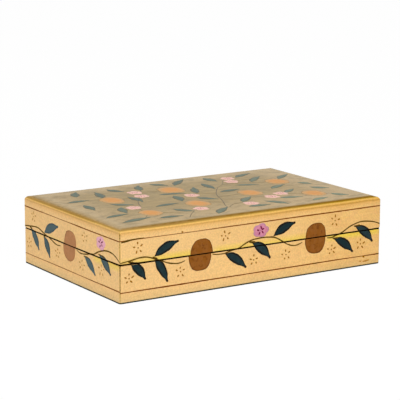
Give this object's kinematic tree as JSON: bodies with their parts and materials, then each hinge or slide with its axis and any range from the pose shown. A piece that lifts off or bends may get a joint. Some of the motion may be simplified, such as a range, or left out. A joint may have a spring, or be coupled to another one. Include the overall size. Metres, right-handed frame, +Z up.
{
  "type": "papier mache box",
  "caption": "Flat rectangular papier mache box with a gilt, painted skin and a lift-off lid that drops over an inner lip.",
  "frame": {"origin": "centre of the underside, on the surface the box stands on", "axes": "+X along the long side, +Y towards the back, -Y is the front, +Z up"},
  "size_m": [0.165, 0.1046, 0.0376],
  "materials": {
    "gilt_skin": "gold paint with painted vine, fruit and flowers under gloss lacquer",
    "black_board": "pressed paper board, black lacquer where it shows",
    "lining_paper": "satin black lacquered paper",
    "underside_paper": "matt dark green-black paper"
  },
  "bodies": {
    "base": {"underside_sheet": "underside_paper", "base_floor_board": "black_board", "base_front_wall": "black_board", "base_back_wall": "black_board", "base_left_wall": "black_board", "base_right_wall": "black_board", "lip_front": "black_board", "lip_back": "black_board", "lip_left": "black_board", "lip_right": "black_board", "base_floor_lining": "lining_paper", "base_painted_skin": "gilt_skin"},
    "lid": {"lid_top_board": "black_board", "lid_front_wall": "black_board", "lid_back_wall": "black_board", "lid_left_wall": "black_board", "lid_right_wall": "black_board", "lid_lining": "lining_paper", "lid_painted_skin": "gilt_skin"}
  },
  "joints": [
    {"name": "lid_lift", "type": "slide", "parent": "base", "child": "lid", "axis": [0, 0, 1], "range_m": [0, 0.06]}
  ]
}
